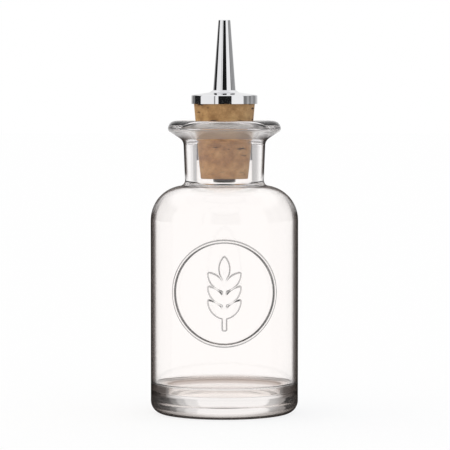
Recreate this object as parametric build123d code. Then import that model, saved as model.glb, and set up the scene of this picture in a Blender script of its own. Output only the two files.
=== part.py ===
"""Dasher bottle: a round glass bottle, its tapered cork, and the chromed dasher that the cork carries.

Everything is turned about the Z axis except the raised badge on the front of the glass, which faces -Y.
The origin is the centre of the base, on the surface that the bottle stands on. Lengths are millimetres.
"""

from build123d import *
import math
import os

# Glass bottle, outside
body_r = 26.0  # radius of the straight side
body_height = 68.3  # height at which the straight side turns into the shoulder
shoulder_r = 12.2  # radius of the shoulder's round
heel_r = 4.5  # rounding between the side and the base
neck_foot_r = 13.9  # neck radius just above the shoulder
neck_top_r = 14.45  # neck radius just under the lip
neck_length = 15.8  # from the top of the shoulder to the underside of the lip
neck_root_r = 2.0  # hollow rounding between the shoulder and the neck
lip_r = 19.9  # radius of the pouring lip
lip_height = 7.0  # from the root of the lip's underside to its top face
lip_underside_angle = 32.5  # slope of the underside, in degrees
lip_root_r = 3.0  # hollow rounding under the lip
lip_nose_r = 1.2  # rounding at the lower edge of the lip
lip_crown_r = 2.9  # rounding at the upper edge of the lip

# Glass bottle, inside and underneath
wall = 1.8  # glass thickness of the side
shoulder_wall = 0.9  # and at the top of the shoulder, where the blown glass is stretched
ledge_height = 10.3  # inner edge of the ledge round the floor
ledge_rise = 0.6  # from there up to the wall
ledge_wall_r = 0.8  # rounding between the wall and the ledge
ledge_edge_r = 0.3  # rounding of the ledge's inner edge
dish_r = 19.7  # radius of the dish inside the ledge
dish_foot_r = 0.5  # rounding between the dish's side and its floor
floor_thickness = 7.5  # glass under the liquid at the dish's foot, the bearing ring included
floor_rise = 0.5  # the dish's floor swells up by this much in the middle
bore_r = 9.8  # radius of the hole through the neck
throat_r = 3.0  # rounding where the hole opens into the shoulder
flare_r = 13.6  # radius of the mouth, which narrows down to the hole
flare_depth = 4.5  # from the mouth to where its slope would meet the hole
flare_foot_r = 2.5  # rounding where the slope passes into the hole, which is where the cork sits
mouth_edge_r = 1.2  # rounding between the slope and the lip's top face
push_up = 1.6  # height of the hollow under the base
bearing_width = 1.8  # flat ring that the bottle stands on

# Raised badge on the front of the glass
relief = 0.5  # how far the badge stands out of the glass
relief_root = 0.6  # how deep its solid reaches into the wall
badge_height = 44.1  # height of the badge's centre
badge_half_width = 17.4  # the ring's outside, seen from the front
badge_half_height = 18.35
badge_band = 0.75  # width of the ring
sprig_height = 25.0  # from the foot of the twig to the tip of the top leaf
twig_width = 0.9
leaf_length = 8.0
leaf_width = 3.1
leaf_pairs = 3
leaf_angle = 42.0  # between a side leaf and the twig, in degrees
leaf_start_share = 0.16  # where the lowest pair leaves the twig, as a share of the sprig's height
leaf_step_share = 0.19  # from one pair to the next

# Cork
cork_insert = 20.3  # length below the mouth
cork_proud = 8.3  # length above the mouth
cork_taper_angle = 5.0  # between the cork's side and its axis, in degrees
cork_edge = 0.4  # bevel on both ends
seat_gap = 0.06  # between the cork and the glass, where the cork is tightest

# Dasher: the stem in the cork, the cap over the cork and the spout on the cap
stem_r = 3.95  # outside of the tube in the cork
stem_wall = 1.15
slip = 0.05  # running clearance between the stem and the cork
stem_proud = 0.8  # the tube shows this much below the cork
stem_edge = 0.3  # bevel at the tube's lower end
groove_depth = 0.25  # the grip grooves round the tube
groove_width = 0.8
groove_pitch = 3.2
groove_count = 5
flange_r = 5.4  # the flange that rests on the cork
flange_thickness = 0.8
head_height = 1.8  # from the top of the cork to the underside of the cap's hub
spigot_r = 2.9  # outside of the stem's upper end, in the cap and the spout
spigot_wall = 0.8
spigot_length = 3.5  # how far it reaches into the spout
fit_gap = 0.02  # between pieces that are pressed together
cap_r = 11.7
cap_height = 4.8  # from the rim of the cap to the top of its hub
cap_skirt = 3.1  # height of the straight band
cap_sheet = 0.6
cap_edge_r = 0.5  # outer rounding between the band and the crown
cap_crown_rise = 0.95  # from the band to the foot of the hub
cap_crown_r = 5.2  # where the crown meets the hub's hollow rounding
hub_r = 4.15
spout_length = 24.7
spout_foot_r = 3.97
spout_tip_r = 2.1
spout_edge_r = 0.3  # rounding at the tip
orifice_r = 0.9
orifice_land = 2.0  # straight length of the orifice

# A cut runs past the faces that it opens by this much
overrun = 1.0

# Places that follow from the sizes
shoulder_top = body_height + shoulder_r
neck_top = shoulder_top + neck_length
mouth_height = neck_top + lip_height
flare_foot = mouth_height - flare_depth
flare_angle = math.atan2(flare_r - bore_r, flare_depth)
seat_height = flare_foot - flare_foot_r * math.tan(flare_angle / 2)
cork_bottom = mouth_height - cork_insert
cork_top = mouth_height + cork_proud
stem_bottom = cork_bottom - stem_proud
hub_underside = cork_top + head_height
hub_top = hub_underside + cap_sheet
cap_rim = hub_top - cap_height
spigot_top = hub_top + spigot_length
tip_height = hub_top + spout_length
grip_start = cork_bottom + groove_pitch


def cork_radius(height):
    """Radius of the cork's side at a height."""
    above_seat = height - seat_height
    return bore_r - seat_gap + above_seat * math.tan(math.radians(cork_taper_angle))


def turned(outline):
    """Solid of revolution of a closed outline, given as radius and height."""
    return revolve(Plane.XZ * make_face(outline), axis=Axis.Z)


def rounded_corners(points, radii):
    """Open line through the points, with a rounding radius for each inner corner."""
    return FilletPolyline(*points, radius=radii)


def shoulder_to_neck(side_r, round_r, hollow_r, neck_r):
    """Shoulder round, up from the straight side, and the hollow rounding that leads into the neck."""
    centre = Vector(side_r - round_r, body_height)
    hollow_centre_r = neck_r + hollow_r
    lean = max(hollow_centre_r - centre.X, 0)
    rise = math.sqrt((round_r + hollow_r) ** 2 - lean**2)
    touch = centre + Vector(lean, rise) * (round_r / (round_r + hollow_r))
    lines = [TangentArc((side_r, body_height), touch, tangent=(0, 1))]
    heading = lines[-1] % 1
    if hollow_centre_r < centre.X:
        start_of_hollow = Vector(hollow_centre_r, touch.Y)
        lines.append(Line(touch, start_of_hollow))
        touch = start_of_hollow
    lines.append(TangentArc(touch, (neck_r, body_height + rise), tangent=heading))
    return lines


def glass_outline():
    """Closed outline of the glass, round the outside and back down the inside."""
    ring_outer_r = body_r - heel_r
    ring_inner_r = ring_outer_r - bearing_width
    hollow = TangentArc((0, push_up), (ring_inner_r, 0), tangent=(1, 0))
    heel = rounded_corners([(ring_inner_r, 0), (body_r, 0), (body_r, body_height)], [heel_r])
    shoulder = shoulder_to_neck(body_r, shoulder_r, neck_root_r, neck_foot_r)
    nose_rise = (lip_r - neck_top_r) * math.tan(math.radians(lip_underside_angle))
    lip = rounded_corners(
        [
            shoulder[-1] @ 1,
            (neck_top_r, neck_top),
            (lip_r, neck_top + nose_rise),
            (lip_r, mouth_height),
            (flare_r, mouth_height),
            (bore_r, flare_foot),
            (bore_r, seat_height - flare_depth),
        ],
        [lip_root_r, lip_nose_r, lip_crown_r, mouth_edge_r, flare_foot_r],
    )
    inner_shoulder = shoulder_to_neck(body_r - wall, shoulder_r - shoulder_wall, throat_r, bore_r)
    bore = Line(lip @ 1, inner_shoulder[-1] @ 1)
    inner_side = rounded_corners(
        [
            (body_r - wall, body_height),
            (body_r - wall, ledge_height + ledge_rise),
            (dish_r, ledge_height),
            (dish_r, floor_thickness),
            (dish_r - 2 * dish_foot_r, floor_thickness),
        ],
        [ledge_wall_r, ledge_edge_r, dish_foot_r],
    )
    floor_top = floor_thickness + floor_rise
    swell = TangentArc((0, floor_top), inner_side @ 1, tangent=(1, 0))
    axis = Line((0, floor_top), (0, push_up))
    return [hollow, heel, *shoulder, lip, bore, *inner_shoulder, inner_side, swell, axis]


def leaf(length, width):
    """A leaf with two pointed ends, lying along +Y from the origin."""
    middle = length / 2
    return make_face(
        [
            ThreePointArc((0, 0), (width / 2, middle), (0, length)),
            ThreePointArc((0, length), (-width / 2, middle), (0, 0)),
        ]
    )


def badge_sketch():
    """Ring with a sprig of pointed leaves in it, seen from the front, about its own centre."""
    ring = Ellipse(badge_half_width, badge_half_height)
    ring -= Ellipse(badge_half_width - badge_band, badge_half_height - badge_band)
    foot = -sprig_height / 2
    top_leaf_foot = foot + sprig_height - leaf_length
    twig_length = sprig_height - leaf_length + twig_width
    sprig = Pos(0, foot + twig_length / 2) * Rectangle(twig_width, twig_length)
    sprig += Pos(0, top_leaf_foot) * leaf(leaf_length, leaf_width)
    for pair in range(leaf_pairs):
        height = foot + sprig_height * (leaf_start_share + leaf_step_share * pair)
        for side in (-1, 1):
            sprig += Pos(0, height) * Rot(0, 0, side * leaf_angle) * leaf(leaf_length, leaf_width)
    return ring + sprig


def badge():
    """The badge's solid: the sketch pushed straight back onto the round side of the glass."""
    front = Plane(origin=(0, 0, badge_height), x_dir=(1, 0, 0), z_dir=(0, -1, 0))
    raised = extrude(front * badge_sketch(), amount=body_r + relief + overrun)
    height = 2 * (badge_half_height + overrun)
    skin = Pos(0, 0, badge_height) * Cylinder(body_r + relief, height)
    skin -= Pos(0, 0, badge_height) * Cylinder(body_r - relief_root, height + overrun)
    return raised & skin


def bottle():
    """Blown glass bottle with its badge."""
    return turned(glass_outline()) + badge()


def cork():
    """Tapered bar cork, bored through for the stem."""
    bore = stem_r + slip
    outline = Polyline(
        (bore, cork_bottom),
        (cork_radius(cork_bottom) - cork_edge, cork_bottom),
        (cork_radius(cork_bottom + cork_edge), cork_bottom + cork_edge),
        (cork_radius(cork_top - cork_edge), cork_top - cork_edge),
        (cork_radius(cork_top) - cork_edge, cork_top),
        (bore, cork_top),
        close=True,
    )
    return turned(outline)


def stem():
    """Tube through the cork, with grip grooves, the flange on the cork and the spigot for the spout."""
    bore = stem_r - stem_wall
    upper_bore = spigot_r - spigot_wall
    neck_r = hub_r - cap_sheet - fit_gap
    flange_top = cork_top + flange_thickness
    tube = turned(
        Polyline(
            (bore, stem_bottom),
            (stem_r - stem_edge, stem_bottom),
            (stem_r, stem_bottom + stem_edge),
            (stem_r, cork_top),
            (flange_r, cork_top),
            (flange_r, flange_top),
            (neck_r, flange_top),
            (neck_r, hub_underside),
            (spigot_r, hub_underside),
            (spigot_r, spigot_top),
            (upper_bore, spigot_top),
            (upper_bore, hub_underside),
            (bore, flange_top - (bore - upper_bore)),
            close=True,
        )
    )
    for groove in range(groove_count):
        height = grip_start + groove * groove_pitch
        ring = Cylinder(stem_r + overrun, groove_width) - Cylinder(stem_r - groove_depth, groove_width + overrun)
        tube -= Pos(0, 0, height) * ring
    return tube


def cap():
    """Sheet metal cap over the head of the cork, drawn up to a hub in the middle."""
    hole = spigot_r + fit_gap
    band_top = cap_rim + cap_skirt
    crown_top = band_top + cap_crown_rise
    outside = rounded_corners(
        [
            (cap_r, cap_rim),
            (cap_r, band_top),
            (cap_crown_r, crown_top),
            (hub_r, hub_top),
            (hole, hub_top),
        ],
        [cap_edge_r, cap_sheet, cap_sheet / 2],
    )
    inside = Polyline(
        (hole, hub_top),
        (hole, hub_underside),
        (hub_r - cap_sheet, hub_underside),
        (cap_crown_r, crown_top - cap_sheet),
        (cap_r - cap_sheet, band_top - cap_sheet),
        (cap_r - cap_sheet, cap_rim),
        (cap_r, cap_rim),
    )
    return turned([outside, inside])


def spout():
    """Conical spout, socketed below for the stem and drilled with a small orifice at the tip."""
    socket_r = spigot_r + fit_gap
    stem_bore = spigot_r - spigot_wall
    socket_top = spigot_top + fit_gap
    outside = rounded_corners(
        [(spout_foot_r, hub_top), (spout_tip_r, tip_height), (orifice_r, tip_height)],
        [spout_edge_r],
    )
    inside = Polyline(
        (orifice_r, tip_height),
        (orifice_r, tip_height - orifice_land),
        (stem_bore, socket_top),
        (socket_r, socket_top),
        (socket_r, hub_top),
        (spout_foot_r, hub_top),
    )
    return turned([outside, inside])


pieces = {
    "bottle": bottle,
    "cork": cork,
    "stem": stem,
    "cap": cap,
    "spout": spout,
}

os.makedirs("parts", exist_ok=True)
for name, make in pieces.items():
    solid = make()
    export_step(solid, f"parts/{name}.step")
    print(f"{name}: {solid.volume / 1000:.2f} cm3, top at {solid.bounding_box().max.Z:.1f}")
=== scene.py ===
# %% [markdown]
# # A dasher bottle in clear glass
#
# The object is a small bottle for bitters: blown glass with a flared pouring lip, a tapered bar cork in the
# neck, and a chromed dasher whose thin cone lets the liquid out in drops. The construction model gives every
# piece its real size and place. This script dresses it, one piece at a time.

# %% Load the construction model
import math

import bpy
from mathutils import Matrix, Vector


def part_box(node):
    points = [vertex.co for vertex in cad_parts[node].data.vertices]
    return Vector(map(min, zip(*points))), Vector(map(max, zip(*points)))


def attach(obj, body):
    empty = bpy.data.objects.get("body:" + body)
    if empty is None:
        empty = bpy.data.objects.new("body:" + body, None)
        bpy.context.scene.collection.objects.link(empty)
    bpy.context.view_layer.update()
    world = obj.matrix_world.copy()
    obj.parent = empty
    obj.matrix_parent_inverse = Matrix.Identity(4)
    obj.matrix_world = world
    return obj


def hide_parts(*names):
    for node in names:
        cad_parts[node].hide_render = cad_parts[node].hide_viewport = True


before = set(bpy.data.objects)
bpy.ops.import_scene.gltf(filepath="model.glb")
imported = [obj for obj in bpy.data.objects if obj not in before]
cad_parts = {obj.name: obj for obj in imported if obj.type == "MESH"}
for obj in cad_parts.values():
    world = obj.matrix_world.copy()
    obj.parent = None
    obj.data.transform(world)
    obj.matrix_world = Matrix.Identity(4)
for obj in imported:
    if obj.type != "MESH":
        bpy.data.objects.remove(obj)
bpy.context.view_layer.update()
print("pieces:", sorted(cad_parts))

# %% [markdown]
# ## Sizes and nodes
#
# Sizes are written in millimetres and multiplied by MM, because Blender counts in metres. Every material and
# every geometry tree here is a graph of nodes. One helper adds a node, sets its options and fills its inputs:
# with a value, with another node's output, or with a node, which stands for its first output. The inputs of a
# Map Range are the value, the two ends of its range, and what those become.

# %% Millimetres and the node helper
MM = 0.001
MATH = "ShaderNodeMath"
VECTOR_MATH = "ShaderNodeVectorMath"
MAP_RANGE = "ShaderNodeMapRange"


def add(tree, kind, inputs=(), **options):
    """Adds a node. Its inputs go by position or by name, and nodes and outputs among them are linked."""
    node = tree.nodes.new(kind)
    for option, value in options.items():
        setattr(node, option, value)
    pairs = inputs.items() if isinstance(inputs, dict) else enumerate(inputs)
    for key, value in pairs:
        if isinstance(value, bpy.types.Node):
            value = value.outputs[0]
        if isinstance(value, bpy.types.NodeSocket):
            tree.links.new(value, node.inputs[key])
        else:
            node.inputs[key].default_value = value
    return node


# %% [markdown]
# ## Colours
#
# Colours are written as sRGB hex values, the way a paint chart or a picture editor gives them. A renderer
# counts light, so the function turns each channel to a linear one. A ramp leads through several colours.


# %% Hex colours, mixes and ramps
WHITE = (1, 1, 1, 1)


def colour(hex_value):
    """Linear RGBA of an sRGB colour such as 'b08a60'."""
    channels = []
    for start in (0, 2, 4):
        c = int(hex_value[start : start + 2], 16) / 255
        channels.append(c / 12.92 if c <= 0.04045 else ((c + 0.055) / 1.055) ** 2.4)
    return (*channels, 1)


def blend(tree, share, first, second):
    """Mix of two colours. The node takes them at inputs 6 and 7 and gives the mix at output 2."""
    return add(tree, "ShaderNodeMix", {0: share, 6: first, 7: second}, data_type="RGBA").outputs[2]


def ramp_through(tree, share, stops):
    """Colour ramp through stops given as position, colour and alpha."""
    ramp = add(tree, "ShaderNodeValToRGB", [share])
    elements = ramp.color_ramp.elements
    elements.remove(elements[1])
    for number, (position, rgba, alpha) in enumerate(stops):
        element = elements.new(position) if number else elements[0]
        element.position = position
        element.color = (*rgba[:3], alpha)
    return ramp


# %% [markdown]
# ## The camera
#
# The picture is a catalogue shot: a long lens from about a metre away, level with the shoulder and tipped
# down by under three degrees. A long lens keeps the sides of the body upright and parallel.

# %% Camera at the catalogue view
PICTURE_PIXELS = 450
SENSOR_WIDTH = 36.0  # in millimetres, as the camera counts it
VIEW_DISTANCE = 1000 * MM
VIEW_TILT = math.radians(2.8)
AIM_HEIGHT = 66.5 * MM
BODY_WIDTH_PIXELS = 147.35
AXIS_PIXEL = 224.4

glass_low, glass_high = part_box("bottle")
body_width = glass_high.x - glass_low.x
lens = bpy.data.cameras.new("catalogue_lens")
lens.sensor_width = SENSOR_WIDTH
lens.lens = SENSOR_WIDTH * VIEW_DISTANCE * (BODY_WIDTH_PIXELS / body_width) / PICTURE_PIXELS
lens.shift_x = (PICTURE_PIXELS / 2 - AXIS_PIXEL) / PICTURE_PIXELS
camera = bpy.data.objects.new("catalogue_camera", lens)
camera.location = (0, -VIEW_DISTANCE * math.cos(VIEW_TILT), AIM_HEIGHT + VIEW_DISTANCE * math.sin(VIEW_TILT))
camera.rotation_euler = (math.pi / 2 - VIEW_TILT, 0, 0)
bpy.context.scene.collection.objects.link(camera)
bpy.context.scene.camera = camera
bpy.context.scene.view_settings.view_transform = "Standard"
print("lens:", round(lens.lens, 1), "mm")

# %% [markdown]
# ## The studio
#
# Glass and chrome have hardly any colour of their own. What the eye reads as glass is the room, bent and
# mirrored: a white sheet behind, black cards at the sides that draw the dark edges, a dark room behind the
# camera. Real cards would show up when the camera goes round, so the room is painted instead, as brightness
# by compass direction. Zero degrees is the camera's side and positive is to its right.
#
# Thick glass takes a share of what passes lengthwise through it, so the base and the lip show that room with
# its cards deeper.

# %% The room, painted by compass direction
# Each panel is a brightness and the direction in degrees where it ends. The first starts at -180
MIRRORED_ROOM = [
    (0.85, -157), (0.43, -142), (0.2, -124), (0.015, -90), (0.97, -36), (0.22, -32), (1.0, -21), (0.012, 25),
    (1.0, 70), (0.22, 84), (0.42, 96), (0.20, 104), (0.40, 118), (0.3, 138), (0.6, 158), (0.9, 180),
]
ROOM_THROUGH_THICK_GLASS = [
    (1.0, -153), (0.6, -135), (0.03, -90), (0.8, 78), (0.02, 122), (0.05, 136), (0.1, 143), (0.26, 150),
    (0.55, 157), (0.8, 165), (1.0, 180),
]
PANEL_BLUR = 1.5  # degrees over which one panel passes into the next
print("panels:", len(MIRRORED_ROOM), "mirrored and", len(ROOM_THROUGH_THICK_GLASS), "through thick glass")


def painted(tree, direction, panels):
    """Colour of the painted panels in a direction from the bottle."""
    axes = add(tree, "ShaderNodeSeparateXYZ", [direction]).outputs
    front = add(tree, MATH, [axes["Y"], -1], operation="MULTIPLY")
    compass = add(tree, MATH, [axes["X"], front], operation="ARCTAN2")
    turn = add(tree, MATH, [compass, 1 / math.tau, 0.5], operation="MULTIPLY_ADD")
    stops = [(-180, panels[0][0])]
    for (before, edge), (after, _) in zip(panels, panels[1:]):
        stops += [(edge - PANEL_BLUR / 2, before), (edge + PANEL_BLUR / 2, after)]
    return ramp_through(tree, turn, [((angle + 180) / 360, [level] * 3, 1) for angle, level in stops])


# %% [markdown]
# What a ray finds depends on how it came. Past both walls of the body it finds the white sheet, whichever way
# it goes, so the body is as clear from the side as from the front. Off metal or off the face of the glass it
# finds the mirrored room, and out of thick glass it finds the deeper one.

# %% What a ray finds, by the way it came
BETWEEN_COUNTS = 0.5  # tells one whole number of faces or bounces from the next
STRAIGHT_THROUGH = 3.5  # a ray that crossed both walls has passed four faces of glass
SHEET = (1.05, 1.05, 1.05, 1)  # a little over white, for what four faces mirror away
MIRRORED_WITHIN = 0.5  # how far towards white the room is for a ray mirrored inside the glass


def room_by_ray(tree, direction):
    """What a ray finds in a direction: the sheet past both walls, else the room by way of glass or metal."""
    rays = add(tree, "ShaderNodeLightPath").outputs
    mirrored = painted(tree, direction, MIRRORED_ROOM)
    through = painted(tree, direction, ROOM_THROUGH_THICK_GLASS)
    within = add(tree, MATH, [rays["Glossy Depth"], BETWEEN_COUNTS], operation="GREATER_THAN")
    within = add(tree, MATH, [within, MIRRORED_WITHIN], operation="MULTIPLY")
    through = blend(tree, within, through, WHITE)
    crossed = add(tree, MATH, [rays["Transmission Depth"], STRAIGHT_THROUGH], operation="GREATER_THAN")
    through = blend(tree, crossed, through, SHEET)
    return blend(tree, rays["Is Transmission Ray"], mirrored, through)


# %% [markdown]
# Overhead the panels give way to a white ceiling. Light that the matt cork and paper have scattered finds a
# soft fill instead of the cards: warm from the left, cool and weaker from the right. The camera itself sees
# plain white.

# %% The world
CEILING_SINE = 0.45, 0.6  # sine of the height angle where the ceiling starts, and where it is all there is
FILL_LEFT = (1.45, 1.33, 1.12, 1)
FILL_RIGHT = (0.62, 0.74, 0.95, 1)

world = bpy.data.worlds.new("studio_room")
bpy.context.scene.world = world
world.use_nodes = True
room = world.node_tree
room.nodes.clear()
towards = add(room, "ShaderNodeTexCoord").outputs["Generated"]
across, _, rise = add(room, "ShaderNodeSeparateXYZ", [towards]).outputs
overhead = add(room, MAP_RANGE, [rise, *CEILING_SINE])
sharp = blend(room, overhead, room_by_ray(room, towards), WHITE)
rays = add(room, "ShaderNodeLightPath").outputs
to_the_right = add(room, MAP_RANGE, [across, -1.0])
fill = blend(room, to_the_right, FILL_LEFT, FILL_RIGHT)
from_matt = add(room, MATH, [rays["Diffuse Depth"], BETWEEN_COUNTS], operation="GREATER_THAN")
matt = blend(room, from_matt, sharp, fill)
seen = blend(room, rays["Is Camera Ray"], matt, WHITE)
background = add(room, "ShaderNodeBackground", [seen, 1.0])
add(room, "ShaderNodeOutputWorld", [background])
print("world:", world.name, "with", len(room.nodes), "nodes")

# %% [markdown]
# ## The floor
#
# The bottle stands on white seamless paper. It is lit like the rest, and part of its brightness is emission,
# so that it reads as pure white while the bottle's soft shadow still shows in the part that is lit. Where a
# ray out of glass skims the paper, the emission shows the painted room instead: a painted reflection of the
# cards that stand on it. The glass's thick base finds that painted reflection.

# %% White paper floor
FLOOR_RADIUS = 6000 * MM
FLOOR_SIDES = 96
PAPER_WHITE = "fbfbfb"
# where the painted reflection starts and where it is full, by how far the paper is turned away
PAPER_PAINTED_REFLECTION = 0.65, 0.8  # how far turned away the paper is where its sheen starts, and where it is full
PAPER_GLOW = 0.8  # share of the paper's white that doesn't depend on the light
PLAIN_FACING = 0.5  # at this setting Facing is 1 less the cosine: 0 square on, 1 edge on


def new_material(name, shader_of, *settings):
    """New material, with the shader that a function makes in its tree."""
    material = bpy.data.materials.new(name)
    material.use_nodes = True
    tree = material.node_tree
    tree.nodes.clear()
    add(tree, "ShaderNodeOutputMaterial", [shader_of(tree, *settings)])
    return material


def paper(tree):
    """Seamless paper: matt white with a steady glow, and a painted reflection of the cards where a ray out of
    glass skims it.
    """
    where = add(tree, "ShaderNodeTexCoord").outputs["Object"]
    turned_away = add(tree, "ShaderNodeLayerWeight", {"Blend": PLAIN_FACING}).outputs["Facing"]
    rays = add(tree, "ShaderNodeLightPath").outputs
    # painted reflection: for rays out of glass, where the paper is turned away it glows with the painted room
    painted_reflection = add(tree, MAP_RANGE, [turned_away, *PAPER_PAINTED_REFLECTION, 0.0, rays["Is Transmission Ray"]])
    matt = add(tree, "ShaderNodeBsdfDiffuse", [colour(PAPER_WHITE)])
    shown = blend(tree, painted_reflection, WHITE, room_by_ray(tree, where))
    glow = add(tree, "ShaderNodeEmission", [shown, 1.0])
    share = add(tree, MATH, [painted_reflection, PAPER_GLOW], operation="MAXIMUM")
    share = add(tree, MAP_RANGE, [rays["Is Diffuse Ray"], 0.0, 1.0, share, 0.0])
    return add(tree, "ShaderNodeMixShader", [share, matt, glow])


bpy.ops.mesh.primitive_circle_add(vertices=FLOOR_SIDES, radius=FLOOR_RADIUS, fill_type="NGON")
floor = bpy.context.object
floor.name = "paper_floor"
floor.data.materials.append(new_material("seamless_paper", paper))
print("floor:", floor.name)

# %% [markdown]
# ## Sections
#
# Everything here is turned: glass on a mould's axis, cork and metal on a lathe. So each piece is drawn as
# half a section, with sharp corners that are then rounded, as a turner's drawing gives them.

# %% Section drawing helpers
ARC_STEP = 6.0  # degrees from one point of an arc to the next
SHALLOW_STEPS = 8  # least number of steps in an arc that is wide and nearly flat


def arc(centre, radius, start, end, least=2):
    """Points on an arc, from one angle in degrees to another."""
    count = max(least, math.ceil(abs(end - start) / ARC_STEP))
    angles = [math.radians(start + (end - start) * i / count) for i in range(count + 1)]
    return [Vector((centre[0] + radius * math.cos(a), centre[1] + radius * math.sin(a))) for a in angles]


def rounded(corners):
    """Outline through corners given as radius, height and rounding, all in the same unit."""
    points = [Vector(corners[0][:2])]
    for before, corner, after in zip(corners, corners[1:], corners[2:]):
        point = Vector(corner[:2])
        back = (Vector(before[:2]) - point).normalized()
        ahead = (Vector(after[:2]) - point).normalized()
        half = back.angle(ahead) / 2
        centre = point + (back + ahead).normalized() * corner[2] / math.sin(half)
        reach = corner[2] / math.tan(half)
        start = point + back * reach - centre
        sweep = math.degrees(start.angle_signed(point + ahead * reach - centre))
        first = math.degrees(math.atan2(start.y, start.x))
        points += arc(centre, corner[2], first, first - sweep)
    return points + [Vector(corners[-1][:2])]


def dome(height, rise, foot_r):
    """Shallow arc from the axis out: its height on the axis, how far it falls, and where it ends."""
    radius = (foot_r**2 + rise**2) / (2 * rise)
    turn = math.degrees(math.asin(foot_r / radius))
    return arc((0, height - radius), radius, 90, 90 - turn, SHALLOW_STEPS)


def finer(corners, step):
    """The outline through these corners, with its straight stretches cut into steps."""
    points = [Vector(corner) for corner in corners]
    result = [points[0]]
    for start, end in zip(points, points[1:]):
        count = max(1, math.ceil((end - start).length / step))
        result += [start.lerp(end, (i + 1) / count) for i in range(count)]
    return result


# %% [markdown]
# ## The lathe
#
# A Geometry Nodes tree does the turning. It takes a section, which is a line of points, makes a grid with a
# row for each point and a column for each step round, and moves every grid point to its place. Compared with
# a Spin or a Screw modifier, the grid lets the front of the bottle have many more columns than the rest,
# which the raised badge needs.

# %% Helpers for geometry trees
WELD = 0.001 * MM  # points nearer than this become one: at the seam, and in the middle of a base


def new_tree(name, sockets):
    """Empty geometry tree with these inputs: name to socket type."""
    tree = bpy.data.node_groups.new(name, "GeometryNodeTree")
    for socket, kind in {"Geometry": "Geometry", **sockets}.items():
        tree.interface.new_socket(socket, in_out="INPUT", socket_type="NodeSocket" + kind)
    tree.interface.new_socket("Geometry", in_out="OUTPUT", socket_type="NodeSocketGeometry")
    return tree, add(tree, "NodeGroupInput").outputs


def from_axis(tree, place):
    """How far a place is from the axis, and the level direction in which it lies from it."""
    level = add(tree, VECTOR_MATH, [place, (1, 1, 0)], operation="MULTIPLY")
    distance = add(tree, VECTOR_MATH, [level], operation="LENGTH").outputs["Value"]
    return distance, add(tree, VECTOR_MATH, [level], operation="NORMALIZE")


def push_out(tree, inputs, selected, direction, amount):
    """Ends a tree by moving its selected points along a direction."""
    offset = add(tree, VECTOR_MATH, {0: direction, "Scale": amount}, operation="SCALE")
    moved = {"Geometry": inputs["Geometry"], "Selection": selected, "Offset": offset}
    add(tree, "NodeGroupOutput", [add(tree, "GeometryNodeSetPosition", moved)])


# %% The lathe tree
def lathe_tree():
    """Turns a line of points about Z. Part of the turn, centred on the front, can have finer columns."""
    tree, inputs = new_tree(
        "lathe",
        {"Columns": "Int", "Front Share": "Float", "Front Arc": "Float", "Material": "Material",
         "Inside From Row": "Int", "Inside Material": "Material"},
    )
    rows = add(tree, "GeometryNodeAttributeDomainSize", [inputs["Geometry"]]).outputs["Point Count"]
    across = add(tree, "FunctionNodeIntegerMath", [inputs["Columns"], 1], operation="ADD")
    grid = add(tree, "GeometryNodeMeshGrid", {"Vertices X": rows, "Vertices Y": across})
    index = add(tree, "GeometryNodeInputIndex")
    row = add(tree, "FunctionNodeIntegerMath", [index, across], operation="DIVIDE_FLOOR")
    column = add(tree, "FunctionNodeIntegerMath", [index, across], operation="MODULO")
    share = add(tree, MATH, [column, inputs["Columns"]], operation="DIVIDE")
    half_arc = add(tree, MATH, [inputs["Front Arc"], 0.5], operation="MULTIPLY")
    start = add(tree, MATH, [half_arc, -1], operation="MULTIPLY")
    in_front = add(tree, MAP_RANGE, [share, 0.0, inputs["Front Share"], start, half_arc])
    rest = add(tree, MATH, [math.tau, inputs["Front Arc"]], operation="SUBTRACT")
    round_back = add(tree, MAP_RANGE, [share, inputs["Front Share"], 1.0, 0.0, rest])
    angle = add(tree, MATH, [in_front, round_back], operation="ADD")
    where = add(tree, "GeometryNodeInputPosition")
    point = add(
        tree, "GeometryNodeSampleIndex", {"Geometry": inputs["Geometry"], "Value": where, "Index": row},
        data_type="FLOAT_VECTOR",
    )
    turned = add(tree, "ShaderNodeVectorRotate", {"Vector": point, "Angle": angle}, rotation_type="Z_AXIS")
    shape = add(tree, "GeometryNodeSetPosition", {"Geometry": grid, "Position": turned})
    shape = add(tree, "GeometryNodeMergeByDistance", {"Geometry": shape, "Distance": WELD})
    shape = add(tree, "GeometryNodeRealizeInstances", [shape])
    shape = add(tree, "GeometryNodeSetMaterial", {"Geometry": shape, "Material": inputs["Material"]})
    face_row = add(tree, "FunctionNodeIntegerMath", [index, inputs["Columns"]], operation="DIVIDE_FLOOR")
    inner_row = inputs["Inside From Row"]
    inside = add(tree, "FunctionNodeCompare", [face_row, inner_row], operation="GREATER_EQUAL")
    inner = {"Geometry": shape, "Selection": inside, "Material": inputs["Inside Material"]}
    shape = add(tree, "GeometryNodeSetMaterial", inner)
    add(tree, "NodeGroupOutput", [shape])
    return tree


LATHE = lathe_tree()
print("tree:", LATHE.name, "with", len(LATHE.nodes), "nodes")

# %% [markdown]
# A piece starts as its section, with its trees as modifiers. Then they become a plain mesh, which can ride on
# a body of the part.

# %% From a section to a finished mesh
def section_object(name, points):
    """A line of points in the YZ plane, at the front: the radius goes along -Y and the height along Z."""
    mesh = bpy.data.meshes.new(name)
    edges = [(i, i + 1) for i in range(len(points) - 1)]
    places = [(0, -radius * MM, height * MM) for radius, height in map(Vector, points)]
    mesh.from_pydata(places, edges, [])
    piece = bpy.data.objects.new(name, mesh)
    bpy.context.scene.collection.objects.link(piece)
    return piece


def modify(piece, tree, values):
    """Adds a geometry tree to a piece and sets its named inputs."""
    modifier = piece.modifiers.new(tree.name, "NODES")
    modifier.node_group = tree
    for item in tree.interface.items_tree:
        if item.item_type == "SOCKET" and item.name in values:
            modifier[item.identifier] = values[item.name]


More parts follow.
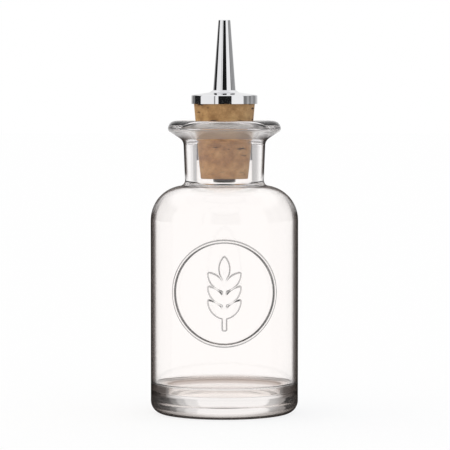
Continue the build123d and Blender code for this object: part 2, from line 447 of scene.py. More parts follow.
def settle(piece, crease=math.pi):
    """Turns a piece's modifiers into a plain mesh, facing out, smooth up to a crease angle."""
    graph = bpy.context.evaluated_depsgraph_get()
    mesh = bpy.data.meshes.new_from_object(piece.evaluated_get(graph))
    piece.modifiers.clear()
    piece.data = mesh
    mesh.name = piece.name
    volume = sum(p.normal.dot(p.center) * p.area / 3 for p in mesh.polygons)
    if volume < 0:
        mesh.flip_normals()
    mesh.shade_smooth()
    mesh.set_sharp_from_angle(angle=crease)
    print(f"{piece.name}: {len(mesh.polygons)} faces, {abs(volume) * 1e6:.2f} cm3")


# %% [markdown]
# ## The glass
#
# The construction model's sizes come first, in millimetres. The wall is thin, the floor is thick, and a ledge
# runs round inside the heel.

# %% The bottle's sizes
MOUTH = glass_high.z / MM
BODY_R = glass_high.x / MM
BODY_HEIGHT = 68.3
SHOULDER_R = 12.2
HEEL_R = 4.5
NECK_FOOT_R = 13.9
NECK_TOP_R = 14.45
NECK_TOP = 96.3
NECK_ROOT_R = 2.0
LIP_R = 19.9
LIP_SLOPE = math.tan(math.radians(32.5))
LIP_ROOT_R = 3.0
LIP_NOSE_R = 1.2
LIP_CROWN_R = 2.9
WALL = 1.8
SHOULDER_WALL = 0.9
LEDGE_HEIGHT = 10.3
LEDGE_RISE = 0.6
LEDGE_WALL_R = 0.8
LEDGE_EDGE_R = 0.3
DISH_R = 19.7
DISH_FOOT_R = 0.5
FLOOR_THICKNESS = 7.5
FLOOR_RISE = 0.5
BORE_R = 9.8
THROAT_R = 3.0
FLARE_R = 13.6
FLARE_DEPTH = 4.5
FLARE_FOOT_R = 2.5
MOUTH_EDGE_R = 1.2
PUSH_UP = 1.6
BEARING_WIDTH = 1.8
BADGE_HEIGHT = 44.1
print("body", round(2 * BODY_R, 1), "mm across, mouth", round(MOUTH, 1), "mm up")

# %% [markdown]
# Soda-lime glass, blown in a mould and fire-polished: no colour to speak of, an index of refraction of 1.52.
# A physical glass shader bends and mirrors the room. Where the surface turns away from the eye, the glass's
# colour is darkened towards a neutral dark: painted shade for the dark edges that glass shows there. A Layer
# Weight node gives that: it says how far a surface is turned away. The wall, the base, the ledge in it and
# the shoulder each get their own painted shade, and a table by height says where each of them is.

# %% Glass tints
GLASS_IOR = 1.52
# Pairs of turned-away share and what the painted shade leaves of the light
GLASS_EDGE_PAINTED_SHADE = [(0.0, 0.983), (0.25, 0.985), (0.45, 1.0), (0.56, 1.0), (0.6, 0.93), (0.634, 0.65),
              (0.676, 0.29), (0.725, 0.14), (0.786, 0.08), (0.876, 0.035)]
BASE_EDGE_PAINTED_SHADE = [(0.0, 1.0), (0.17, 1.0), (0.23, 0.94), (0.27, 0.88), (0.3, 0.79), (0.35, 0.64), (0.4, 0.55),
             (0.46, 0.46), (0.53, 0.38), (0.61, 0.25), (0.73, 0.14), (0.85, 0.07)]
LEDGE_EDGE_PAINTED_SHADE = [(0.0, 1.0), (0.35, 1.0), (0.41, 0.45), (0.8, 0.4)]
SHOULDER_EDGE_PAINTED_SHADE = [(0.0, 0.983), (0.25, 0.985), (0.45, 1.0), (0.7, 1.0), (0.755, 0.78), (0.79, 0.42),
                 (0.82, 0.22)]
# the powers warm the painted shade as it darkens
PAINTED_SHADE_WARMTH = 1.0, 1.06, 1.09  # powers for red, green and blue: the darker the glass, the warmer it looks
# Height in millimetres, the glass's own colour there, and how much painted shade darkens it where it turns
# away
OUTSIDE_BY_HEIGHT = [
    (0.0, "fbf9f8", 0.0), (10.0, "fbf9f8", 0.0), (11.3, "fffefe", 1.0), (70.5, "fffefe", 1.0),
    (77.0, "fffefe", 0.0), (82.0, "fffefe", 0.0), (85.0, "fffefe", 1.0), (97.0, "fffefe", 1.0),
    (99.0, "fffefe", 0.1),
]
BASE_BY_HEIGHT = [(0.0, "ffffff", 1.0), (10.8, "ffffff", 1.0), (11.4, "ffffff", 0.0)]
LEDGE_BY_HEIGHT = [(6.4, "ffffff", 0.0), (7.4, "ffffff", 1.0), (10.6, "ffffff", 1.0), (11.1, "ffffff", 0.0)]
SHOULDER_BY_HEIGHT = [
    (71.0, "ffffff", 0.0), (75.0, "ffffff", 1.0), (82.3, "ffffff", 1.0), (83.5, "ffffff", 0.0),
]
TALLEST = 110.0  # millimetres at the end of every ramp by height


def by_height(tree, height, table):
    """Colour and strength at a height, from a table in millimetres."""
    share = add(tree, MATH, [height, TALLEST * MM], operation="DIVIDE")
    stops = [(level / TALLEST, colour(hex_value), strength) for level, hex_value, strength in table]
    return ramp_through(tree, share, stops).outputs


# %% [markdown]
# The badge's soft flanks are small prisms: above or below its middle a flank bends the white sheet in, and
# beside it the dark cards. Here that is painted shade, and what is left of the light is a pair of values for
# those two places, once for a flank that faces away from the badge's middle and once for one that faces it.

# %% The badge's flanks
FLANK_STARTS = 0.015  # how steep a flank is where it starts to tell
FLANK_FULL = 0.18, 0.055  # and where it tells in full
# what the painted shade on a flank leaves of the light, above or below the middle and beside it
FLANK_PAINTED_SHADE_OUTWARD = 0.42, 0.6
FLANK_PAINTED_SHADE_INWARD = 0.33, 0.03
FLANK_SIDEWAYS = 0.2, 0.9  # how far to the side the first of a pair still holds, and where the second does
FLANK_TURN = 0.4  # how squarely a flank faces out or in where its own value holds in full


def painted_flank_shade(tree, place, badge_middle):
    """Painted shade on the badge's flanks: what is left of the light, 1 on the plain glass."""
    normal = add(tree, "ShaderNodeNewGeometry").outputs["Normal"]
    _, radial = from_axis(tree, place)
    along = add(tree, VECTOR_MATH, [normal, radial], operation="DOT_PRODUCT").outputs["Value"]
    upright = add(tree, MATH, [along], operation="ABSOLUTE")
    steep = add(tree, MATH, [1, upright], operation="SUBTRACT")
    out = add(tree, VECTOR_MATH, [place, badge_middle], operation="SUBTRACT")
    out = add(tree, VECTOR_MATH, [out, (1, 0, 1)], operation="MULTIPLY")
    out = add(tree, VECTOR_MATH, [out], operation="NORMALIZE")
    sideways = add(tree, "ShaderNodeSeparateXYZ", [out]).outputs["X"]
    sideways = add(tree, MATH, [sideways], operation="ABSOLUTE")
    full, outward, inward = [
        add(tree, MAP_RANGE, [sideways, *FLANK_SIDEWAYS, *pair])
        for pair in (FLANK_FULL, FLANK_PAINTED_SHADE_OUTWARD, FLANK_PAINTED_SHADE_INWARD)
    ]
    steep = add(tree, MAP_RANGE, [steep, FLANK_STARTS, full])
    sign = add(tree, MATH, [along], operation="SIGN")
    facing_out = add(tree, VECTOR_MATH, {0: normal, "Scale": sign}, operation="SCALE")
    side = add(tree, VECTOR_MATH, [facing_out, out], operation="DOT_PRODUCT").outputs["Value"]
    light = add(tree, MAP_RANGE, [side, FLANK_TURN, -FLANK_TURN, outward, inward])
    return add(tree, MAP_RANGE, [steep, 0.0, 1.0, 1.0, light])


# %% The outer face
BADGE_REACH = 20.0  # how far the badge reaches from its middle, with some room


def outside_tint_and_painted_shade(tree, place):
    """What the outer face lets through: its own colour by height, and painted shade where it turns away and
    on the badge's flanks.
    """
    height = add(tree, "ShaderNodeSeparateXYZ", [place]).outputs["Z"]
    turned_away = add(tree, "ShaderNodeLayerWeight", {"Blend": PLAIN_FACING}).outputs["Facing"]
    in_badge = add(tree, MATH, [height, BADGE_HEIGHT * MM, BADGE_REACH * MM], operation="COMPARE")
    flanks = painted_flank_shade(tree, place, (0, -BODY_R * MM, BADGE_HEIGHT * MM))
    tint = add(tree, MAP_RANGE, [in_badge, 0.0, 1.0, 1.0, flanks])
    for edge, table in (
        (GLASS_EDGE_PAINTED_SHADE, OUTSIDE_BY_HEIGHT),
        (BASE_EDGE_PAINTED_SHADE, BASE_BY_HEIGHT),
        (LEDGE_EDGE_PAINTED_SHADE, LEDGE_BY_HEIGHT),
        (SHOULDER_EDGE_PAINTED_SHADE, SHOULDER_BY_HEIGHT),
    ):
        # painted shade: each layer darkens the glass where it turns away, in place of the dark edges it shows
        # there
        levels = [(position, [level**power for power in PAINTED_SHADE_WARMTH], 1) for position, level in edge]
        local = by_height(tree, height, table)
        dark = blend(tree, local["Alpha"], WHITE, ramp_through(tree, turned_away, levels))
        layer = add(tree, VECTOR_MATH, [local["Color"], dark], operation="MULTIPLY")
        tint = add(tree, VECTOR_MATH, [tint, layer], operation="MULTIPLY")
    return tint


# %% [markdown]
# The inner face is nearly clear to light that meets it from the glass. For light that has just come into the
# air inside it carries painted shade by height, for the thick glass as it looks from above: pale on the
# floor's dish, brown grey on the ledge.

# %% The inner face
INSIDE_FROM_GLASS = "fffefd"
# painted shade by height, for the look of the thick floor and ledge from above
INSIDE_FROM_AIR_PAINTED_SHADE = [
    (7.5, "fffcfa", 1.0), (8.0, "fffcfa", 1.0), (8.1, "eee9e6", 1.0), (8.6, "cfc5c1", 1.0),
    (9.4, "c4b9b3", 1.0), (9.8, "9f9187", 1.0), (10.25, "9f9187", 1.0), (10.35, "e2dad6", 1.0),
    (10.5, "f4f0ee", 1.0), (10.8, "fbf8f6", 1.0), (11.3, "fffefd", 1.0),
]
FACES_OF_A_WALL = 2  # a ray in the air inside has passed both faces of one wall


def inside_tint_and_painted_shade(tree, place):
    """What the inner face lets through: nearly clear for light in the glass, painted shade by height for
    light that has just left it.
    """
    height = add(tree, "ShaderNodeSeparateXYZ", [place]).outputs["Z"]
    rays = add(tree, "ShaderNodeLightPath").outputs
    unmirrored = add(tree, MATH, [rays["Glossy Depth"], BETWEEN_COUNTS], operation="LESS_THAN")
    passed = rays["Transmission Depth"]
    in_air = add(tree, MATH, [passed, FACES_OF_A_WALL, BETWEEN_COUNTS], operation="COMPARE")
    in_air = add(tree, MATH, [in_air, unmirrored], operation="MULTIPLY")
    return blend(tree, in_air, colour(INSIDE_FROM_GLASS), by_height(tree, height, INSIDE_FROM_AIR_PAINTED_SHADE)["Color"])


# %% [markdown]
# The mouth is ground flat and its funnel is ground to seat the cork. Those faces are satin: they blur what
# shows through them and scatter some light as a whitish haze.

# %% Glass material
GROUND_WITHIN = FLARE_R + 3.0  # millimetres from the axis
GROUND_ABOVE = NECK_TOP + 3.0  # and from the table
GROUND_ROUGHNESS = 0.27
GROUND_HAZE = 0.35  # share of the light that is scattered
GROUND_WHITE = "f8f5f0"


def soda_lime_glass(tree, tint_of):
    """Clear soda-lime glass with a tint that carries painted shade, and satin where the mouth is ground."""
    place = add(tree, "ShaderNodeTexCoord").outputs["Object"]
    height = add(tree, "ShaderNodeSeparateXYZ", [place]).outputs["Z"]
    radius, _ = from_axis(tree, place)
    near = add(tree, MATH, [radius, GROUND_WITHIN * MM], operation="LESS_THAN")
    above = add(tree, MATH, [height, GROUND_ABOVE * MM], operation="GREATER_THAN")
    ground = add(tree, MATH, [near, above], operation="MULTIPLY")
    rough = add(tree, MATH, [ground, GROUND_ROUGHNESS], operation="MULTIPLY")
    glass = add(
        tree, "ShaderNodeBsdfGlass", {"Color": tint_of(tree, place), "Roughness": rough, "IOR": GLASS_IOR}
    )
    haze = add(tree, MATH, [ground, GROUND_HAZE], operation="MULTIPLY")
    satin = add(tree, "ShaderNodeBsdfDiffuse", [colour(GROUND_WHITE)])
    return add(tree, "ShaderNodeMixShader", [haze, glass, satin])


GLASS_OUTSIDE_PAINTED_SHADE = new_material("soda_lime_glass_outside_painted_shade", soda_lime_glass, outside_tint_and_painted_shade)
GLASS_INSIDE_PAINTED_SHADE = new_material("soda_lime_glass_inside_painted_shade", soda_lime_glass, inside_tint_and_painted_shade)
print("materials:", GLASS_OUTSIDE_PAINTED_SHADE.name, "and", GLASS_INSIDE_PAINTED_SHADE.name)

# %% [markdown]
# The half section goes out along the base, up the outside, over the lip, and down the inside to the middle
# of the floor.

# %% Half section of the glass
FINE_STEP = 0.24  # distance between rows and between columns under the badge
PLAIN_STEP = 2.5  # longest step between rows elsewhere


def shoulder(side_r, round_r, hollow_r, neck_r):
    """Shoulder round and the hollow rounding that leads into the neck, from the side up."""
    centre = Vector((side_r - round_r, BODY_HEIGHT))
    hollow_centre_r = neck_r + hollow_r
    lean = max(hollow_centre_r - centre.x, 0)
    rise = math.sqrt((round_r + hollow_r) ** 2 - lean**2)
    touch = math.degrees(math.atan2(rise, lean))
    hollow = arc((hollow_centre_r, BODY_HEIGHT + rise), hollow_r, touch - 180, -180)
    return arc(centre, round_r, 0, touch) + hollow


def glass_section(badge_rows):
    """Half section of the glass in two parts, the outside with the mouth and then the inside."""
    ring_outer = BODY_R - HEEL_R
    ring_inner = ring_outer - BEARING_WIDTH
    hollow = dome(PUSH_UP, PUSH_UP, ring_inner)
    heel = arc((ring_outer, HEEL_R), HEEL_R, -90, 0)
    outside = shoulder(BODY_R, SHOULDER_R, NECK_ROOT_R, NECK_FOOT_R)
    lip = rounded(
        [
            (*outside[-1], 0),
            (NECK_TOP_R, NECK_TOP, LIP_ROOT_R),
            (LIP_R, NECK_TOP + (LIP_R - NECK_TOP_R) * LIP_SLOPE, LIP_NOSE_R),
            (LIP_R, MOUTH, LIP_CROWN_R),
            (FLARE_R, MOUTH, MOUTH_EDGE_R),
            (BORE_R, MOUTH - FLARE_DEPTH, FLARE_FOOT_R),
            (BORE_R, MOUTH - 2 * FLARE_DEPTH, 0),
        ]
    )
    inside = shoulder(BODY_R - WALL, SHOULDER_R - SHOULDER_WALL, THROAT_R, BORE_R)
    inner_side = rounded(
        [
            (BODY_R - WALL, BODY_HEIGHT, 0),
            (BODY_R - WALL, LEDGE_HEIGHT + LEDGE_RISE, LEDGE_WALL_R),
            (DISH_R, LEDGE_HEIGHT, LEDGE_EDGE_R),
            (DISH_R, FLOOR_THICKNESS, DISH_FOOT_R),
            (DISH_R - 2 * DISH_FOOT_R, FLOOR_THICKNESS, 0),
        ]
    )
    dish = dome(FLOOR_THICKNESS + FLOOR_RISE, FLOOR_RISE, DISH_R - 2 * DISH_FOOT_R)
    below = finer([*hollow, *heel, badge_rows[0]], PLAIN_STEP)
    above = finer([badge_rows[-1], *outside, *lip], PLAIN_STEP)
    within = finer([lip[-1], *inside[::-1], *inner_side, *dish[-2::-1]], PLAIN_STEP)
    return below + badge_rows[1:] + above[1:], within[1:]


# %% [markdown]
# ## The badge
#
# The mould's front carries a round badge: a ring with a sprig in it, half a millimetre proud. It is drawn
# flat as filled outlines, inside its own tree. Each point of the glass then asks how far it is from the
# nearest filled face. On a face it is pushed out by the full relief, and within the width of the flank by
# less, so the badge gets the soft sides of something that was blown against a mould.

# %% Badge sizes
BADGE_HALF_WIDTH = 17.55
BADGE_HALF_HEIGHT = 18.12
BADGE_BAND = 0.33
RELIEF = 0.5
FLANK = 0.6
SPRIG_HEIGHT = 25.0
TWIG_WIDTH = 0.9
LEAF_LENGTH = 8.0
LEAF_WIDTH = 3.1
LEAF_PAIRS = 3
LEAF_ANGLE = math.radians(42.0)
LEAF_START_SHARE = 0.16
LEAF_STEP_SHARE = 0.19
RING_POINTS = 180
LEAF_POINTS = 24  # along each of its two sides
print("badge:", 2 * BADGE_HALF_WIDTH, "by", 2 * BADGE_HALF_HEIGHT, "mm, with", 2 * LEAF_PAIRS + 1, "leaves")


# %% The badge, drawn flat
def filled_ring(tree, inputs):
    """The badge's ring: the band between two ellipses."""
    outlines = add(tree, "GeometryNodeJoinGeometry")
    for inset in (0, 1):
        sizes = [
            add(tree, MATH, [inputs["Band"], -inset, inputs[half]], operation="MULTIPLY_ADD")
            for half in ("Half Width", "Half Height")
        ]
        scale = add(tree, "ShaderNodeCombineXYZ", sizes)
        circle = add(tree, "GeometryNodeCurvePrimitiveCircle", {"Resolution": RING_POINTS, "Radius": 1.0})
        ellipse = add(tree, "GeometryNodeTransform", {"Geometry": circle, "Scale": scale})
        tree.links.new(ellipse.outputs[0], outlines.inputs[0])
    return add(tree, "GeometryNodeFillCurve", [outlines])


def filled_leaf(tree):
    """A leaf from foot to tip: two arcs, each filled to its chord."""
    leaf = add(tree, "GeometryNodeJoinGeometry")
    for side in (-1, 1):
        edge = add(
            tree, "GeometryNodeCurveArc",
            {"Resolution": LEAF_POINTS, "Start": (0, 0, 0), "End": (0, LEAF_LENGTH * MM, 0),
             "Middle": (side * LEAF_WIDTH / 2 * MM, LEAF_LENGTH / 2 * MM, 0)},
            mode="POINTS",
        )
        half = add(tree, "GeometryNodeFillCurve", [edge])
        tree.links.new(half.outputs[0], leaf.inputs[0])
    return leaf


def flat_badge(tree, inputs):
    """Ring, leaves and twig as flat faces, X across and Y up, about the badge's middle."""
    foot = -SPRIG_HEIGHT / 2
    twig_length = SPRIG_HEIGHT - LEAF_LENGTH + TWIG_WIDTH
    twig = add(tree, "GeometryNodeMeshGrid", [TWIG_WIDTH * MM, twig_length * MM, 2, 2])
    middle = (0, (foot + twig_length / 2) * MM, 0)
    parts = [filled_ring(tree, inputs), add(tree, "GeometryNodeTransform", {0: twig, "Translation": middle})]
    places = [(foot + SPRIG_HEIGHT - LEAF_LENGTH, 0)]
    for pair in range(LEAF_PAIRS):
        height = foot + SPRIG_HEIGHT * (LEAF_START_SHARE + LEAF_STEP_SHARE * pair)
        places += [(height, LEAF_ANGLE), (height, -LEAF_ANGLE)]
    leaf = filled_leaf(tree)
    for height, lean in places:
        placed = {"Geometry": leaf, "Translation": (0, height * MM, 0), "Rotation": (0, 0, lean)}
        parts.append(add(tree, "GeometryNodeTransform", placed))
    shape = add(tree, "GeometryNodeJoinGeometry")
    for part in parts:
        tree.links.new(part.outputs[0], shape.inputs[0])
    return shape


# %% The badge tree
def badge_tree():
    """Raises the badge on whatever lies in front, outside a given radius."""
    tree, inputs = new_tree(
        "badge", {"Half Width": "Float", "Half Height": "Float", "Band": "Float", "Relief": "Float",
                  "Flank": "Float", "Height": "Float", "Inner Radius": "Float"}
    )
    where = add(tree, "GeometryNodeInputPosition")
    axes = add(tree, "ShaderNodeSeparateXYZ", [where]).outputs
    up = add(tree, MATH, [axes["Z"], inputs["Height"]], operation="SUBTRACT")
    flat = add(tree, "ShaderNodeCombineXYZ", [axes["X"], up])
    away = add(
        tree, "GeometryNodeProximity", {"Geometry": flat_badge(tree, inputs), "Sample Position": flat},
        target_element="FACES",
    ).outputs["Distance"]
    ends = [0.0, inputs["Flank"], inputs["Relief"], 0.0]
    rise = add(tree, MAP_RANGE, [away, *ends], interpolation_type="SMOOTHSTEP")
    radius, outward = from_axis(tree, where)
    outside = add(tree, "FunctionNodeCompare", [radius, inputs["Inner Radius"]], operation="GREATER_THAN")
    in_front = add(tree, "FunctionNodeCompare", [axes["Y"], 0.0], operation="LESS_THAN")
    both = add(tree, "FunctionNodeBooleanMath", [outside, in_front], operation="AND")
    push_out(tree, inputs, both, outward, rise)
    return tree


# %% [markdown]
# The glass is turned with its fine columns in front, and then the badge is raised on them.

# %% Turn the glass and raise its badge
FRONT_ARC = math.radians(94)  # part of the turn that has the fine columns
BACK_COLUMNS = 66
BADGE_MARGIN = 1.0

reach = BADGE_HALF_HEIGHT + BADGE_MARGIN
row_count = math.ceil(2 * reach / FINE_STEP)
badge_rows = [
    Vector((BODY_R, BADGE_HEIGHT - reach + 2 * reach * i / row_count)) for i in range(row_count + 1)
]
front_columns = math.ceil(FRONT_ARC * BODY_R / FINE_STEP)
columns = front_columns + BACK_COLUMNS
outside_points, inside_points = glass_section(badge_rows)
glass = section_object("glass_bottle", outside_points + inside_points)
modify(
    glass, LATHE,
    {"Columns": columns, "Front Share": front_columns / columns, "Front Arc": FRONT_ARC,
     "Material": GLASS_OUTSIDE_PAINTED_SHADE, "Inside From Row": len(outside_points) - 1, "Inside Material": GLASS_INSIDE_PAINTED_SHADE},
)
modify(
    glass, badge_tree(),
    {"Half Width": BADGE_HALF_WIDTH * MM, "Half Height": BADGE_HALF_HEIGHT * MM, "Band": BADGE_BAND * MM,
     "Relief": RELIEF * MM, "Flank": FLANK * MM, "Height": BADGE_HEIGHT * MM,
     "Inner Radius": (BODY_R - WALL / 2) * MM},
)
settle(glass)
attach(glass, "bottle")
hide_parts("bottle")

# %% [markdown]
# ## The cork
#
# A bar cork is punched from the bark and ground to a taper. The bark's lenticels, which are its breathing
# pores, run through it as short dark channels. On the side of a cork they show as flat slits and specks. The
# same pattern sinks them into the mesh and darkens them in the material, so a pit is dark at its bottom.

# %% Cork pores, for a geometry tree or a material
# The pattern's cells in millimetres, how flat a pore is, its reach in its cell, the share of cells with one
CORK_SLITS = dict(cell=7.5, flatness=0.17, size=0.3, filled_share=0.5)
CORK_SPECKS = dict(cell=2.4, flatness=0.6, size=0.17, filled_share=0.5)
PORE_FLOOR = 0.4  # share of that reach over which it has its full depth
PORES_TURNED = math.radians(25)  # the cork is stuck in with two of its slits to the front
PORES_RAISED = 4.9  # millimetres
DRIFT_WAVE = 1.5  # millimetres from one bend of a pore's outline to the next
DRIFT = 0.9  # millimetres between the furthest bends


def pores(tree, place, cell, flatness, size, filled_share):
    """One flat pore in some cells of a random pattern: 1 at its middle, 0 outside it."""
    drift = add(tree, "ShaderNodeTexNoise", {"Vector": place, "Scale": 1 / (DRIFT_WAVE * MM), "Detail": 2.0})
    drift = add(tree, VECTOR_MATH, [drift.outputs["Color"], (0.5, 0.5, 0.5)], operation="SUBTRACT")
    drift = add(tree, VECTOR_MATH, {0: drift, "Scale": DRIFT * MM}, operation="SCALE")
    moved = add(tree, VECTOR_MATH, [place, drift], operation="ADD")
    squashed = add(tree, VECTOR_MATH, [moved, (1, 1, 1 / flatness)], operation="MULTIPLY")
    cells = add(tree, "ShaderNodeTexVoronoi", {"Vector": squashed, "Scale": 1 / (cell * MM)}).outputs
    pick = add(tree, "ShaderNodeSeparateXYZ", [cells["Color"]]).outputs["X"]
    filled = add(tree, MATH, [pick, filled_share], operation="LESS_THAN")
    ends = [size, size * PORE_FLOOR]
    depth = add(tree, MAP_RANGE, [cells["Distance"], *ends], interpolation_type="SMOOTHSTEP")
    return add(tree, MATH, [filled, depth], operation="MULTIPLY")


def all_pores(tree, place):
    """Slits and specks together."""
    turn = {"Vector": place, "Angle": PORES_TURNED}
    place = add(tree, "ShaderNodeVectorRotate", turn, rotation_type="Z_AXIS")
    place = add(tree, VECTOR_MATH, [place, (0, 0, PORES_RAISED * MM)], operation="SUBTRACT")
    slits = pores(tree, place, **CORK_SLITS)
    specks = pores(tree, place, **CORK_SPECKS)
    return add(tree, MATH, [slits, specks], operation="MAXIMUM")


def pitted_tree():
    """Sinks the pores into the surface outside a radius."""
    tree, inputs = new_tree("cork_pits", {"Depth": "Float", "Inner Radius": "Float"})
    place = add(tree, "GeometryNodeInputPosition")
    radius, outward = from_axis(tree, place)
    skin = add(tree, "FunctionNodeCompare", [radius, inputs["Inner Radius"]], operation="GREATER_THAN")
    sunk = add(tree, MATH, [all_pores(tree, place), inputs["Depth"]], operation="MULTIPLY")
    inward = add(tree, MATH, [sunk, -1], operation="MULTIPLY")
    push_out(tree, inputs, skin, outward, inward)
    return tree


# %% [markdown]
# Cork is matt and grainy. Its colour wanders between straw and tan over some millimetres, with a finer grain
# on top. Inside the neck it is painted warmer and paler: painted light that makes up for the glass in front
# of it, which greys it.

# %% Cork material
CORK_TONES = [(0.32, "8f6a42"), (0.5, "ae8759"), (0.68, "c7a26e")]
# painted light: inside the neck, below the height that follows, these paler and warmer tones replace the
# cork's own
NECK_PAINTED_LIGHT_TONES = [(0.32, "b17b4a"), (0.5, "d09a62"), (0.68, "e4b37a")]
NECK_PAINTED_LIGHT_BELOW = 100.0  # height in millimetres below which the cork is squeezed
NECK_PAINTED_LIGHT_BLUR = 1.0  # millimetres either way over which that sets in
PORE_BROWN = "3d2614"
CORK_MOTTLE = 4.0  # millimetres across a patch of one tone
CORK_GRAIN = 0.45  # millimetres: real cells are too fine to show, so this is coarser
GRAIN_SHADE = 0.82, 1.1  # brightness at the bottom and at the top of the grain
GRAIN_RELIEF = 0.1 * MM
CORK_ROUGHNESS = 0.72, 0.95
NOISE_SPAN = 0.3, 0.7  # nearly all of a noise texture's values lie between these


def natural_cork(tree):
    """Natural bar cork, ground and unsealed, with painted light where it sits in the neck."""
    place = add(tree, "ShaderNodeTexCoord").outputs["Object"]
    mottle, grain = [
        add(
            tree, "ShaderNodeTexNoise",
            {"Vector": place, "Scale": 1 / (size * MM), "Detail": detail, "Roughness": rough},
        )
        for size, detail, rough in ((CORK_MOTTLE, 5.0, 0.62), (CORK_GRAIN, 3.0, 0.6))
    ]
    height = add(tree, "ShaderNodeSeparateXYZ", [place]).outputs["Z"]
    ends = [(NECK_PAINTED_LIGHT_BELOW + NECK_PAINTED_LIGHT_BLUR) * MM, (NECK_PAINTED_LIGHT_BELOW - NECK_PAINTED_LIGHT_BLUR) * MM]
    neck_painted_light = add(tree, MAP_RANGE, [height, *ends])
    tones = [
        ramp_through(tree, mottle, [(position, colour(hex_value), 1) for position, hex_value in table])
        for table in (CORK_TONES, NECK_PAINTED_LIGHT_TONES)
    ]
    skin = blend(tree, neck_painted_light, *tones)
    grainy = add(tree, MAP_RANGE, [grain, *NOISE_SPAN, *GRAIN_SHADE])
    skin = add(tree, VECTOR_MATH, {0: skin, "Scale": grainy}, operation="SCALE")
    skin = blend(tree, all_pores(tree, place), skin, colour(PORE_BROWN))
    rough = add(tree, MAP_RANGE, [grain, 0.0, 1.0, *CORK_ROUGHNESS])
    relief = add(tree, "ShaderNodeBump", {"Strength": 0.5, "Distance": GRAIN_RELIEF, "Height": grain})
    return add(tree, "ShaderNodeBsdfPrincipled", {"Base Color": skin, "Roughness": rough, "Normal": relief})


CORK = new_material("natural_cork", natural_cork)
print("material:", CORK.name)

# %% [markdown]
# One function turns every other piece, in place of its node of the construction model.

# %% Turn the cork
CREASE = math.radians(35)  # a corner sharper than this stays an edge


def turned_piece(node, body, points, columns, material, pits=None):
    """A turned piece in place of a node, riding on a body. The section is closed."""
    piece = section_object(node + "_turned", points)
    modify(
        piece, LATHE,
        {"Columns": columns, "Front Share": 1.0, "Front Arc": math.tau, "Material": material,
         "Inside From Row": len(points), "Inside Material": material},
    )
    if pits:
        modify(piece, *pits)
    settle(piece, CREASE)
    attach(piece, body)
    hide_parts(node)


cork_low, cork_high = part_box("cork")
CORK_BOTTOM = cork_low.z / MM
CORK_TOP = cork_high.z / MM
CORK_TAPER = math.tan(math.radians(5.0))
CORK_EDGE = 0.4
CORK_HEAD_R = cork_high.x / MM
CORK_FOOT_R = CORK_HEAD_R - (CORK_TOP - CORK_BOTTOM - CORK_EDGE) * CORK_TAPER
CORK_BORE_R = 4.0
CORK_STEP = 0.3
CORK_COLUMNS = 210
PIT_DEPTH = 0.3
PITS_FROM_BORE = 1.0  # the bore stays smooth

cork_corners = [
    (CORK_BORE_R, CORK_BOTTOM),
    (CORK_FOOT_R - CORK_EDGE, CORK_BOTTOM),
    (CORK_FOOT_R, CORK_BOTTOM + CORK_EDGE),
    (CORK_HEAD_R, CORK_TOP - CORK_EDGE),
    (CORK_HEAD_R - CORK_EDGE, CORK_TOP),
    (CORK_BORE_R, CORK_TOP),
]
turned_piece(
    "cork", "stopper", finer(cork_corners, CORK_STEP) + cork_corners[:1], CORK_COLUMNS, CORK,
    pits=(pitted_tree(), {"Depth": PIT_DEPTH * MM, "Inner Radius": (CORK_BORE_R + PITS_FROM_BORE) * MM}),
)

# %% [markdown]
# ## The dasher
#
# The cap is drawn from sheet and the cone is turned. Both are nickelled and chromed, which leaves a mirror:
# every stripe on them is a panel of the room. Plating keeps the faint rings of the buffing wheel, so a little
# unevenness round the axis breaks the stripes' edges. The stem is drawn steel tube, painted nearly black with
# a dull gleam: painted shade for its mouth, which sits in shade at the bottom of the cork.

# %% Chrome and steel
METAL_HAZE = 5.0  # millimetres across a patch that is more or less polished
HAZE_SHADE = 0.97, 1.0
RING_STRETCH = (0.08, 0.08, 1)  # draws the noise out round the axis into rings


def ringed_metal(tree, hex_value, roughness, ring_pitch, ring_depth):
    """Polished metal with the faint rings that buffing leaves round its axis, in millimetres."""
    place = add(tree, "ShaderNodeTexCoord").outputs["Object"]
    haze = add(tree, "ShaderNodeTexNoise", {"Vector": place, "Scale": 1 / (METAL_HAZE * MM), "Detail": 4.0})
    drawn = add(tree, VECTOR_MATH, [place, RING_STRETCH], operation="MULTIPLY")
    rings = add(tree, "ShaderNodeTexNoise", {"Vector": drawn, "Scale": 1 / (ring_pitch * MM), "Detail": 2.0})
    rough = add(tree, MAP_RANGE, [haze, *NOISE_SPAN, *roughness])
    shade = add(tree, MAP_RANGE, [haze, *NOISE_SPAN, *HAZE_SHADE])
    plate = colour(hex_value)[:3]
    plate = add(tree, VECTOR_MATH, {0: plate, "Scale": shade}, operation="SCALE")
    relief = add(tree, "ShaderNodeBump", {"Strength": 1.0, "Distance": ring_depth * MM, "Height": rings})
    look = {"Base Color": plate, "Metallic": 1.0, "Roughness": rough, "Normal": relief}
    return add(tree, "ShaderNodeBsdfPrincipled", look)


# Colour, roughness from and to, rings' pitch and depth. Real rings are too fine to show: these are coarser
CHROME = new_material("polished_chrome_plate", ringed_metal, "ececee", (0.02, 0.06), 0.5, 0.002)
# nearly black: painted shade for the stem's mouth under the cork
STEEL_PAINTED_SHADE = new_material("drawn_steel_painted_shade", ringed_metal, "2e2a27", (0.25, 0.4), 0.4, 0.01)
print("materials:", CHROME.name, "and", STEEL_PAINTED_SHADE.name)

# %% Cap
cap_low, cap_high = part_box("cap")
CAP_R = cap_high.x / MM
CAP_RIM = cap_low.z / MM
HUB_TOP = cap_high.z / MM
CAP_SKIRT = 3.1
CAP_SHEET = 0.6
CAP_EDGE_R = 0.5
CAP_CROWN_RISE = 0.95
CAP_CROWN_R = 5.2
CAP_STEP = 0.4
CAP_COLUMNS = 144
HUB_R = 4.15
SPIGOT_R = 2.9
FIT_GAP = 0.02

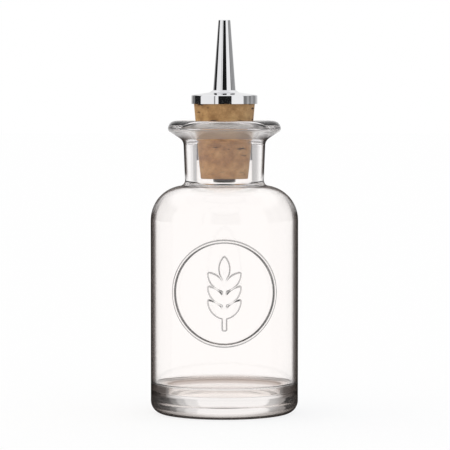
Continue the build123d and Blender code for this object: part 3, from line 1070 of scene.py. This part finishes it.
band_top = CAP_RIM + CAP_SKIRT
crown_top = band_top + CAP_CROWN_RISE
hole = SPIGOT_R + FIT_GAP
cap_outside = rounded(
    [
        (CAP_R, CAP_RIM, 0),
        (CAP_R, band_top, CAP_EDGE_R),
        (CAP_CROWN_R, crown_top, CAP_SHEET),
        (HUB_R, HUB_TOP, CAP_SHEET / 2),
        (hole, HUB_TOP, 0),
    ]
)
cap_inside = [
    (hole, HUB_TOP - CAP_SHEET),
    (HUB_R - CAP_SHEET, HUB_TOP - CAP_SHEET),
    (CAP_CROWN_R, crown_top - CAP_SHEET),
    (CAP_R - CAP_SHEET, band_top - CAP_SHEET),
    (CAP_R - CAP_SHEET, CAP_RIM),
    (CAP_R, CAP_RIM),
]
turned_piece("cap", "dasher", finer(cap_outside, CAP_STEP) + cap_inside, CAP_COLUMNS, CHROME)

# %% Spout
_, spout_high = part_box("spout")
TIP = spout_high.z / MM
SPOUT_FOOT_R = spout_high.x / MM
SPOUT_TIP_R = 2.1
SPOUT_EDGE_R = 0.3
SPOUT_STEP = 1.0
ORIFICE_R = 0.9
ORIFICE_LAND = 2.0
SPIGOT_WALL = 0.8
SPIGOT_LENGTH = 3.5
TUBE_COLUMNS = 96  # for spout and stem

socket_top = HUB_TOP + SPIGOT_LENGTH + FIT_GAP
spout_outside = rounded([(SPOUT_FOOT_R, HUB_TOP, 0), (SPOUT_TIP_R, TIP, SPOUT_EDGE_R), (ORIFICE_R, TIP, 0)])
spout_inside = [
    (ORIFICE_R, TIP - ORIFICE_LAND),
    (SPIGOT_R - SPIGOT_WALL, socket_top),
    (SPIGOT_R + FIT_GAP, socket_top),
    (SPIGOT_R + FIT_GAP, HUB_TOP),
    (SPOUT_FOOT_R, HUB_TOP),
]
turned_piece(
    "spout", "dasher", finer(spout_outside, SPOUT_STEP) + spout_inside, TUBE_COLUMNS, CHROME
)

# %% [markdown]
# ## The stem
#
# Only the stem's dark mouth shows, through the glass, at the bottom of the cork. The rest appears when the
# dasher is pulled out: a drawn steel tube with grip grooves, a flange and a spigot.

# %% Stem
stem_low, stem_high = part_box("stem")
STEM_BOTTOM = stem_low.z / MM
STEM_R = 3.95
STEM_WALL = 1.15
STEM_EDGE = 0.3
GROOVE_DEPTH = 0.25
GROOVE_WIDTH = 0.8
GROOVE_PITCH = 3.2
GROOVE_COUNT = 5
FLANGE_R = stem_high.x / MM
FLANGE_THICKNESS = 0.8
UPPER_BORE_R = SPIGOT_R - SPIGOT_WALL

stem_bore = STEM_R - STEM_WALL
flange_top = CORK_TOP + FLANGE_THICKNESS
stem_neck_r = HUB_R - CAP_SHEET - FIT_GAP
hub_underside = HUB_TOP - CAP_SHEET
groove_r = STEM_R - GROOVE_DEPTH
grooves = []
for groove in range(GROOVE_COUNT):
    middle = CORK_BOTTOM + GROOVE_PITCH * (groove + 1)
    lower = middle - GROOVE_WIDTH / 2
    upper = middle + GROOVE_WIDTH / 2
    grooves += [(STEM_R, lower), (groove_r, lower), (groove_r, upper), (STEM_R, upper)]
stem_section = [
    (stem_bore, STEM_BOTTOM),
    (STEM_R - STEM_EDGE, STEM_BOTTOM),
    (STEM_R, STEM_BOTTOM + STEM_EDGE),
    *grooves,
    (STEM_R, CORK_TOP),
    (FLANGE_R, CORK_TOP),
    (FLANGE_R, flange_top),
    (stem_neck_r, flange_top),
    (stem_neck_r, hub_underside),
    (SPIGOT_R, hub_underside),
    (SPIGOT_R, HUB_TOP + SPIGOT_LENGTH),
    (UPPER_BORE_R, HUB_TOP + SPIGOT_LENGTH),
    (UPPER_BORE_R, hub_underside),
    (stem_bore, flange_top - (stem_bore - UPPER_BORE_R)),
    (stem_bore, STEM_BOTTOM),
]
turned_piece("stem", "dasher", stem_section, TUBE_COLUMNS, STEEL_PAINTED_SHADE)
